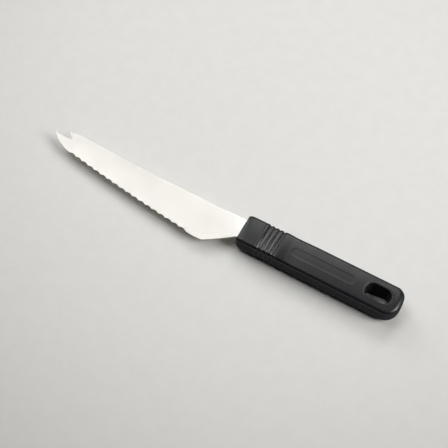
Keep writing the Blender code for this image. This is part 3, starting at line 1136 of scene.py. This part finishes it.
    def bar(self, x: Array) -> Array:
        """The bar's skin, with its front rim, grip ring, panel and crown.

        Args:
            x: distances from the front face.

        Returns:
            A loop of points at each place.
        """
        inset, section = self.inset(x), self.section()
        radii = tuple(np.maximum(r - inset, self.least_edge_radius) for r in self.edge_radii())
        half = self.thickness / 2
        loops = section.loops(x, self.half_width(x) - inset, half - inset, radii, (0.0, half))
        top = len(section.flat)
        loops[:, :top, 2] -= self.panel_drop(loops[:, :top, 0], loops[:, :top, 1])
        loops[:, :, 2] = self.crowned(loops[:, :, 0], loops[:, :, 1], loops[:, :, 2])
        return loops

    def add_front(self, work: Patchwork) -> None:
        """Add the bar from the front rim to the seam before the slot, with the grip ring marked.

        Args:
            work: the mesh being made.
        """
        x = self.stations()
        fades = [(border, border + self.ring_fade) for border in self.borders]
        work.add(self.bar(x), plateau(x, *fades)[:, None], closed=True)

    def add_mouth(self, work: Patchwork) -> None:
        """Add the flat front face and the mouth in it, out of which the blade comes.

        Args:
            work: the mesh being made.
        """
        turn = np.linspace(0.0, math.pi / 2, 5)
        depth = np.append(self.mouth_lip * (1 - np.cos(turn)), self.mouth_depth)
        growth = np.append(self.mouth_lip * (1 - np.sin(turn)), 0.0) + self.mouth_gap
        half_width = (self.mouth_high - self.mouth_low) / 2 + growth
        radius = np.full_like(depth, self.mouth_corner)
        centre = ((self.mouth_low + self.mouth_high) / 2, self.thickness / 2)
        half_height = self.mouth_half_height + growth
        inner = self.section().loops(depth, half_width, half_height, (radius, radius), centre)
        outer = self.bar(np.zeros(1))
        share = np.linspace(0.0, 1.0, 7)[:, None, None]
        face = outer * (1 - share) + inner[:1] * share
        end = np.broadcast_to(inner[-1:].mean(axis=1, keepdims=True), inner[-1:].shape)
        work.add(np.concatenate((face, inner[1:], end)), closed=True)

    def plan(self) -> tuple[Array, Array]:
        """The handle's outline seen from above, behind the seam: the spine's side, its corner arc,
        the crown arc, the edge side's corner arc and the edge's side, each an arc round its centre.

        Returns:
            The outline's points and its outward normals.
        """
        centre = self.length - self.crown
        half = float(self.half_width(self.seam))
        points, normals = [], []
        for sign, radius in ((1.0, self.spine_corner), (-1.0, self.edge_corner)):
            corner_y = half - radius
            corner_x = centre + math.sqrt((self.crown - radius) ** 2 - corner_y**2)
            join = math.asin(corner_y / (self.crown - radius))
            side = np.linspace(self.seam, corner_x, 36)[:-1, None]
            turn = np.linspace(math.pi / 2, join, 24)[:-1, None]
            crown = np.linspace(join, 0.0, 12)[:, None]
            across = np.hstack((0 * side, 1 + 0 * side))
            bend, butt = (np.hstack((np.cos(angle), np.sin(angle))) for angle in (turn, crown))
            flank = np.hstack((side, np.full_like(side, half)))
            arcs = (corner_x, corner_y) + radius * bend, (centre, 0.0) + self.crown * butt
            points.append(np.concatenate((flank, *arcs)) * (1.0, sign))
            normals.append(np.concatenate((across, bend, butt)) * (1.0, sign))
        return np.concatenate((points[0], points[1][::-1])), np.concatenate((normals[0], normals[1][::-1]))

    def add_rear(self, work: Patchwork) -> None:
        """Add the handle behind the seam. The outer grid runs round the outline and down its side:
        a quarter circle, the side, a quarter circle. The inner grid runs from there over the top to
        the slot's lip, down through the slot and back under the bottom.

        Args:
            work: the mesh being made.
        """
        outline, normal = self.plan()
        facing = normal[:, 0] ** 2
        top_rim = self.edge_radius + (self.butt_top_rim - self.edge_radius) * facing
        blend = ramp(outline[:, 0], *self.butt_rim_blend)
        low_rise = self.low_edge_radius + (self.butt_low_rim - self.low_edge_radius) * blend
        low_run = self.low_edge_radius + (self.butt_side_rim - self.low_edge_radius) * blend
        low_run = low_run + (self.butt_low_rim - self.butt_side_rim) * facing
        section = self.section()
        quarter = np.linspace(0.0, math.pi / 2, section.arc_steps)
        upright = (1 - section.side[None, :]) / 2
        top_in = top_rim[:, None] * (1 - np.sin(quarter))
        top_z = self.thickness - top_rim[:, None] * (1 - np.cos(quarter))
        side_z = low_rise[:, None] + (self.thickness - top_rim - low_rise)[:, None] * upright
        low_in = low_run[:, None] * (1 - np.cos(quarter))
        low_z = low_rise[:, None] * (1 - np.sin(quarter))
        inward = np.concatenate((top_in, 0 * side_z, low_in), axis=1)
        height = np.concatenate((top_z, side_z, low_z), axis=1)
        plan = outline[:, None, :] - normal[:, None, :] * inward[:, :, None]
        height = self.crowned(plan[:, :, 0], plan[:, :, 1], height)
        work.add(np.concatenate((plan, height[:, :, None]), axis=2))
        top, bottom = (outline - normal * run[:, None] for run in (top_rim, low_run))
        self.add_slot(work, top, bottom, section)

    def bead(self) -> tuple[Array, Array]:
        """Profile of the low bead round the slot: a raised cosine up from its foot to the crest,
        then a quarter of an ellipse down into the slot's wall.

        Returns:
            Distances outside the wall, and heights, from the foot to the wall.
        """
        rise = np.linspace(0.0, 1.0, 9)
        foot_out = self.bead_foot + (self.bead_crest - self.bead_foot) * rise
        foot_z = self.thickness + self.bead_height * (1 - np.cos(math.pi * rise)) / 2
        turn = np.linspace(0.0, math.pi / 2, 11)[1:]
        over_out = self.bead_crest * (1 - np.sin(turn))
        fall = self.bead_height + self.bead_drop
        over_z = self.thickness + self.bead_height - fall * (1 - np.cos(turn))
        return np.concatenate((foot_out, over_out)), np.concatenate((foot_z, over_z))

    def add_slot(self, work: Patchwork, top: Array, bottom: Array, section: Section) -> None:
        """Add the top and bottom faces round the slot, its rounded lips and its wall.

        Args:
            work: the mesh being made.
            top: where the top face ends, seen from above.
            bottom: where the bottom face ends.
            section: the section's sample points, which the seam shares.
        """
        flat = section.flat[1:-1, None]
        for_seam = (self.half_width(self.seam) - r for r in self.edge_radii())
        high_seam, low_seam = (np.hstack((np.full_like(flat, self.seam), flat * half)) for half in for_seam)
        top, bottom = np.concatenate((top, high_seam)), np.concatenate((bottom, low_seam))
        radius = self.slot_width / 2
        centre = self.length - self.slot_from_butt
        half = self.slot_length / 2 - radius
        spine = np.stack((np.clip(top[:, 0], centre - half, centre + half), np.zeros(len(top))), 1)
        ray = (top - spine) / np.linalg.norm(top - spine, axis=1, keepdims=True)
        bead_out, bead_z = self.bead()
        turn = np.linspace(math.pi / 2, 0.0, 10)
        lip_out = self.slot_lip * (1 - np.sin(turn))
        lip_z = self.slot_lip * (1 - np.cos(turn))
        wall_z = np.linspace(bead_z[-1], lip_z[0], 8)[1:-1]
        out = np.concatenate((bead_out, 0 * wall_z, lip_out))
        height = np.concatenate((bead_z, wall_z, lip_z))
        ring = spine[:, None, :] + ray[:, None, :] * (radius + out)[None, :, None]
        share = np.linspace(0.0, 1.0, 10)[None, :-1, None]
        over = top[:, None, :] * (1 - share) + ring[:, :1] * share
        under = bottom[:, None, :] * (1 - share[:, ::-1]) + ring[:, -1:] * share[:, ::-1]
        plan = np.concatenate((over, ring, under), axis=1)
        level = np.concatenate((np.full(over.shape[1], self.thickness), height, np.zeros(under.shape[1])))
        level = self.crowned(plan[:, :, 0], plan[:, :, 1], level)
        grid = np.concatenate((plan, level[:, :, None]), axis=2)
        work.add(np.swapaxes(grid, 0, 1), closed=True)

    def build(self) -> bpy.types.Object:
        """The whole handle as one closed mesh.

        Returns:
            The handle's object.
        """
        work = Patchwork()
        self.add_front(work)
        self.add_mouth(work)
        self.add_rear(work)
        piece = work.build("handle_moulded", self.front_face, self.sharp_angle)
        piece.data.materials.append(self.finish.material())
        return piece


# The studio


@dataclass(frozen=True)
class SoftLight:
    """A large square lamp that looks at the knife."""

    name: str
    towards: Triple
    size: float
    radiance: float
    distance: float = 1.4

    def place(self, target: Vector) -> None:
        """Add the lamp. Its power is pi times its area times its radiance.

        Args:
            target: the point it looks at, in metres.
        """
        lamp = bpy.data.lights.new(self.name, "AREA")
        lamp.shape = "SQUARE"
        lamp.size = self.size
        lamp.energy = math.pi * self.size**2 * self.radiance
        aimed(self.name, lamp, target, Vector(self.towards).normalized() * self.distance)


@dataclass
class Studio:
    """The pale table, the lamps and the camera."""

    front_face: float
    aim: Pair = (-14.07, 2.09)
    azimuth: float = 29.2
    elevation: float = 63.5
    distance: float = 0.5193
    lens: float = 68.30
    sensor: float = 36.0
    clip_start: float = 0.01
    table_size: float = 3.0
    ambient: float = 0.01
    backdrop: float = 0.045
    table: PaleTable = field(default_factory=PaleTable)
    lamps: tuple[SoftLight, ...] = (
        SoftLight("right_softbox", (0.76, 0.12, 0.64), 0.62, 8.8),
        SoftLight("left_softbox", (-0.75, 0.40, 0.54), 0.50, 5.0),
        SoftLight("back_softbox", (-0.10, 0.66, 0.74), 0.62, 3.4),
        SoftLight("overhead_softbox", (-0.40, 0.00, 0.92), 0.62, 3.1),
        SoftLight("left_high", (-0.62, 0.12, 0.78), 0.62, 0.5),
        SoftLight("right_high", (0.58, 0.10, 0.81), 0.62, 1.2),
        SoftLight("blade_fill", (-0.28, 0.38, 0.87), 0.66, 0.58),
    )

    def target(self) -> Vector:
        """The point on the table that the camera and the lamps look at, in metres."""
        return Vector((self.front_face + self.aim[0], self.aim[1], 0.0)) * METRES

    def build(self) -> None:
        """Lay the table, light it and set up the camera."""
        mesh = bpy.data.meshes.new("table")
        half = self.table_size / 2
        outline = [(-half, -half, 0.0), (half, -half, 0.0), (half, half, 0.0), (-half, half, 0.0)]
        mesh.from_pydata(outline, [], [(0, 1, 2, 3)])
        mesh.materials.append(self.table.material())
        table = linked("table", mesh)
        for lamp in self.lamps:
            lamp.place(self.target())
        world = Graph(bpy.data.worlds.new("studio"), "Background")
        seen = world.light_path(("Is Camera Ray", "Is Glossy Ray", "Is Transmission Ray"))
        strength = seen * (self.backdrop - self.ambient) + self.ambient
        bpy.context.scene.world = world.finish({"Color": (1.0, 1.0, 1.0, 1.0), "Strength": strength})
        bpy.context.scene.view_settings.view_transform = "Standard"
        self.place_camera()

    def place_camera(self) -> None:
        """Put the camera on a sphere round its target, at the photograph's angles."""
        around, up = math.radians(self.azimuth), math.radians(self.elevation)
        back = Vector((math.sin(around) * math.cos(up), -math.cos(around) * math.cos(up), math.sin(up)))
        lens = bpy.data.cameras.new("camera")
        lens.lens = self.lens
        lens.sensor_width = self.sensor
        lens.clip_start = self.clip_start
        bpy.context.scene.camera = aimed("camera", lens, self.target(), back * self.distance)


def dress(piece: bpy.types.Object, node: str) -> None:
    """Let a piece ride on the knife and stand for its CAD node.

    Args:
        piece: the finished piece.
        node: the CAD node it stands for.
    """
    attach(piece, "root")
    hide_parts(node)
    log.info("%s stands for %s with %d faces", piece.name, node, len(piece.data.polygons))


def main() -> None:
    """Build the knife's pieces and the studio."""
    logging.basicConfig(level=logging.INFO, format="%(name)s: %(message)s")
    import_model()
    front_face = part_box("handle")[0].x / METRES
    dress(Blade(front_face).build(), "blade")
    dress(Handle(front_face).build(), "handle")
    Studio(front_face).build()


if __name__ == "__main__":
    main()
